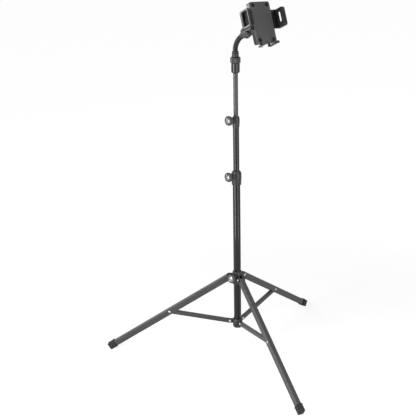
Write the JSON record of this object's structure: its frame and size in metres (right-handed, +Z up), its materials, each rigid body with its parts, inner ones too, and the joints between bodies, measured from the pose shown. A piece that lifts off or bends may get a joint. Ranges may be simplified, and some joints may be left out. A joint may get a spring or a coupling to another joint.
{
  "type": "phone floor stand",
  "caption": "Folding floor tripod with a telescopic mast, a short flexible neck and a clamp that holds a phone.",
  "frame": {"origin": "point on the mast's axis at floor level, under the three feet", "axes": "+Z up along the mast; +X to the right in the picture's view, +Y away from the viewer"},
  "size_m": [0.5856, 0.6362, 0.9731],
  "materials": {
    "gloss_black_steel": "gloss black enamel",
    "satin_steel_tube": "satin dark grey",
    "satin_black_steel": "satin dark grey",
    "bright_steel": "bright plated",
    "chrome_cap": "polished",
    "black_plastic": "fine matte black",
    "gloss_black_plastic": "gloss black",
    "grey_plastic": "matte mid grey",
    "neck_steel": "satin black",
    "black_rubber": "soft matte black"
  },
  "bodies": {
    "mast": {"main_tube": "gloss_black_steel", "main_tube_plug": "black_plastic", "lower_collar": "black_plastic", "lower_collar_rivets": "bright_steel", "lower_clamp_body": "black_plastic", "lower_clamp_bush": "black_plastic", "lower_clamp_nut": "bright_steel"},
    "hub": {"hub_body": "black_plastic", "hub_nut": "bright_steel", "hub_rivets": "bright_steel"},
    "hub_screw": {"hub_screw": "bright_steel"},
    "hub_knob": {"hub_knob": "black_plastic", "hub_knob_cap": "chrome_cap"},
    "lower_screw": {"lower_clamp_screw": "bright_steel"},
    "lower_knob": {"lower_clamp_knob": "black_plastic", "lower_clamp_knob_cap": "chrome_cap"},
    "middle": {"middle_tube": "gloss_black_steel", "upper_clamp_body": "black_plastic", "upper_clamp_bush": "black_plastic", "upper_clamp_nut": "bright_steel"},
    "upper_screw": {"upper_clamp_screw": "bright_steel"},
    "upper_knob": {"upper_clamp_knob": "black_plastic", "upper_clamp_knob_cap": "chrome_cap"},
    "top": {"top_tube": "satin_steel_tube", "neck_sleeve": "gloss_black_plastic"},
    "coupling_nut": {"coupling_nut": "grey_plastic"},
    "neck_base": {"neck_ferrule": "neck_steel", "gooseneck_1": "neck_steel"},
    "neck_2": {"gooseneck_2": "neck_steel"},
    "neck_3": {"gooseneck_3": "neck_steel"},
    "neck_4": {"gooseneck_4": "neck_steel"},
    "neck_end": {"gooseneck_5": "neck_steel", "neck_end_cup": "black_plastic"},
    "ball_nut": {"ball_nut": "grey_plastic"},
    "ball_seat": {"ball_seat": "black_plastic"},
    "ball_stud": {"ball_stud": "black_plastic", "swivel_screw": "bright_steel"},
    "holder": {"back_shell": "black_plastic", "front_plate": "grey_plastic", "plate_discs": "black_rubber", "case_screws": "bright_steel"},
    "left_arm": {"left_arm": "gloss_black_plastic", "left_pad": "black_rubber"},
    "right_arm": {"right_arm": "gloss_black_plastic", "right_pad": "black_rubber"},
    "pinion": {"pinion": "black_plastic"},
    "release_button": {"release_button": "black_plastic"},
    "phone_rest": {"phone_rest": "gloss_black_plastic"},
    "brace_1": {"brace_1": "satin_black_steel"},
    "leg_1": {"leg_1": "satin_black_steel", "foot_1": "black_rubber", "leg_rivet_1": "bright_steel"},
    "brace_2": {"brace_2": "satin_black_steel"},
    "leg_2": {"leg_2": "satin_black_steel", "foot_2": "black_rubber", "leg_rivet_2": "bright_steel"},
    "brace_3": {"brace_3": "satin_black_steel"},
    "leg_3": {"leg_3": "satin_black_steel", "foot_3": "black_rubber", "leg_rivet_3": "bright_steel"}
  },
  "joints": [
    {"name": "hub_slide", "type": "slide", "parent": "mast", "child": "hub", "axis": [0, 0, 1], "range_m": [0, 0.2335]},
    {"name": "brace_1_fold", "type": "hinge", "parent": "mast", "child": "brace_1", "pos_m": [-0.02078, 0.00224, 0.0978], "axis": [0.107, 0.9943, 0], "range_deg": [0, 81.55]},
    {"name": "leg_1_fold", "type": "hinge", "parent": "brace_1", "child": "leg_1", "pos_m": [-0.18619, 0.02003, 0.12127], "axis": [-0.107, -0.9943, 0], "range_deg": [0, 138.2]},
    {"name": "brace_2_fold", "type": "hinge", "parent": "mast", "child": "brace_2", "pos_m": [0.01233, 0.01688, 0.0978], "axis": [0.8076, -0.5898, 0], "range_deg": [0, 81.55]},
    {"name": "leg_2_fold", "type": "hinge", "parent": "brace_2", "child": "leg_2", "pos_m": [0.11044, 0.15123, 0.12127], "axis": [-0.8076, 0.5898, 0], "range_deg": [0, 138.2]},
    {"name": "brace_3_fold", "type": "hinge", "parent": "mast", "child": "brace_3", "pos_m": [0.00845, -0.01911, 0.0978], "axis": [-0.9145, -0.4045, 0], "range_deg": [0, 81.55]},
    {"name": "leg_3_fold", "type": "hinge", "parent": "brace_3", "child": "leg_3", "pos_m": [0.07575, -0.17126, 0.12127], "axis": [0.9145, 0.4045, 0], "range_deg": [0, 138.2]},
    {"name": "hub_screw_move", "type": "slide", "parent": "hub", "child": "hub_screw", "axis": [-0.5898, -0.8076, 0], "range_m": [0, 0.0012]},
    {"name": "hub_knob_turn", "type": "hinge", "parent": "hub_screw", "child": "hub_knob", "pos_m": [-0.01474, -0.02019, 0.2335], "axis": [-0.5898, -0.8076, 0], "range_deg": [0, 540.02]},
    {"name": "lower_screw_move", "type": "slide", "parent": "mast", "child": "lower_screw", "axis": [-0.766, -0.6428, 0], "range_m": [0, 0.0012]},
    {"name": "lower_knob_turn", "type": "hinge", "parent": "lower_screw", "child": "lower_knob", "pos_m": [-0.01915, -0.01607, 0.5183], "axis": [-0.766, -0.6428, 0], "range_deg": [0, 540.02]},
    {"name": "upper_screw_move", "type": "slide", "parent": "middle", "child": "upper_screw", "axis": [-0.766, -0.6428, 0], "range_m": [0, 0.0012]},
    {"name": "upper_knob_turn", "type": "hinge", "parent": "upper_screw", "child": "upper_knob", "pos_m": [-0.01685, -0.01414, 0.6685], "axis": [-0.766, -0.6428, 0], "range_deg": [0, 540.02]},
    {"name": "middle_tube_slide", "type": "slide", "parent": "mast", "child": "middle", "axis": [0, 0, 1], "range_m": [-0.117, 0.2]},
    {"name": "top_tube_slide", "type": "slide", "parent": "middle", "child": "top", "axis": [0, 0, 1], "range_m": [-0.112, 0.215]},
    {"name": "coupling_nut_turn", "type": "hinge", "parent": "top", "child": "coupling_nut", "pos_m": [0, 0, 0.814], "axis": [0, 0, 1], "range_deg": [0, 90]},
    {"name": "neck_swivel", "type": "hinge", "parent": "top", "child": "neck_base", "pos_m": [0, 0, 0.814], "axis": [0, 0, 1], "continuous": true},
    {"name": "neck_bend_1", "type": "hinge", "parent": "neck_base", "child": "neck_2", "pos_m": [0, 0, 0.85034], "axis": [0.5, 0.866, 0], "range_deg": [-13, 7]},
    {"name": "neck_bend_2", "type": "hinge", "parent": "neck_2", "child": "neck_3", "pos_m": [0.00204, -0.00118, 0.86055], "axis": [0.5, 0.866, 0], "range_deg": [-13, 7]},
    {"name": "neck_bend_3", "type": "hinge", "parent": "neck_3", "child": "neck_4", "pos_m": [0.00602, -0.00348, 0.86998], "axis": [0.5, 0.866, 0], "range_deg": [-13, 7]},
    {"name": "neck_bend_4", "type": "hinge", "parent": "neck_4", "child": "neck_end", "pos_m": [0.01173, -0.00677, 0.87812], "axis": [0.5, 0.866, 0], "range_deg": [-13, 7]},
    {"name": "ball_nut_turn", "type": "hinge", "parent": "neck_end", "child": "ball_nut", "pos_m": [0.03169, -0.0183, 0.89612], "axis": [0.6824, -0.394, 0.6157], "range_deg": [0, 90]},
    {"name": "ball_swing", "type": "hinge", "parent": "neck_end", "child": "ball_seat", "pos_m": [0.03169, -0.0183, 0.89612], "axis": [0.6824, -0.394, 0.6157], "range_deg": [-180, 180]},
    {"name": "ball_tilt", "type": "hinge", "parent": "ball_seat", "child": "ball_stud", "pos_m": [0.03169, -0.0183, 0.89612], "axis": [0.6769, 0.0227, -0.7358], "range_deg": [-56, 5]},
    {"name": "holder_roll", "type": "hinge", "parent": "ball_stud", "child": "holder", "pos_m": [0.06557, -0.06929, 0.92572], "axis": [0.4982, -0.7499, 0.4352], "continuous": true},
    {"name": "left_arm_slide", "type": "slide", "parent": "holder", "child": "left_arm", "axis": [0.8477, 0.5268, -0.0628], "range_m": [0, 0.013]},
    {"name": "right_arm_slide", "type": "slide", "parent": "holder", "child": "right_arm", "axis": [-0.8477, -0.5268, 0.0628], "range_m": [0, 0.013]},
    {"name": "pinion_turn", "type": "hinge", "parent": "holder", "child": "pinion", "pos_m": [0.05894, -0.05833, 0.92807], "axis": [-0.4982, 0.7499, -0.4352], "range_deg": [0, 124.16]},
    {"name": "release_button_press", "type": "slide", "parent": "holder", "child": "release_button", "axis": [0.4982, -0.7499, 0.4352], "range_m": [0, 0.0015], "stiffness_N_per_m": 400, "springref_m": -0.002},
    {"name": "phone_rest_drop", "type": "slide", "parent": "holder", "child": "phone_rest", "axis": [0.1822, -0.4002, -0.8981], "range_m": [0, 0.015]}
  ],
  "couplings": [
    {"joint": "brace_1_fold", "follows": "hub_slide", "rad_per_m": 6.0938},
    {"joint": "leg_1_fold", "follows": "hub_slide", "rad_per_m": 10.328},
    {"joint": "brace_2_fold", "follows": "hub_slide", "rad_per_m": 6.0938},
    {"joint": "leg_2_fold", "follows": "hub_slide", "rad_per_m": 10.328},
    {"joint": "brace_3_fold", "follows": "hub_slide", "rad_per_m": 6.0938},
    {"joint": "leg_3_fold", "follows": "hub_slide", "rad_per_m": 10.328},
    {"joint": "hub_knob_turn", "follows": "hub_screw_move", "rad_per_m": 7854},
    {"joint": "lower_knob_turn", "follows": "lower_screw_move", "rad_per_m": 7854},
    {"joint": "upper_knob_turn", "follows": "upper_screw_move", "rad_per_m": 7854},
    {"joint": "neck_bend_2", "follows": "neck_bend_1", "ratio": 1},
    {"joint": "neck_bend_3", "follows": "neck_bend_1", "ratio": 1},
    {"joint": "neck_bend_4", "follows": "neck_bend_1", "ratio": 1},
    {"joint": "right_arm_slide", "follows": "left_arm_slide", "ratio": 1},
    {"joint": "pinion_turn", "follows": "left_arm_slide", "rad_per_m": 166.67}
  ]
}
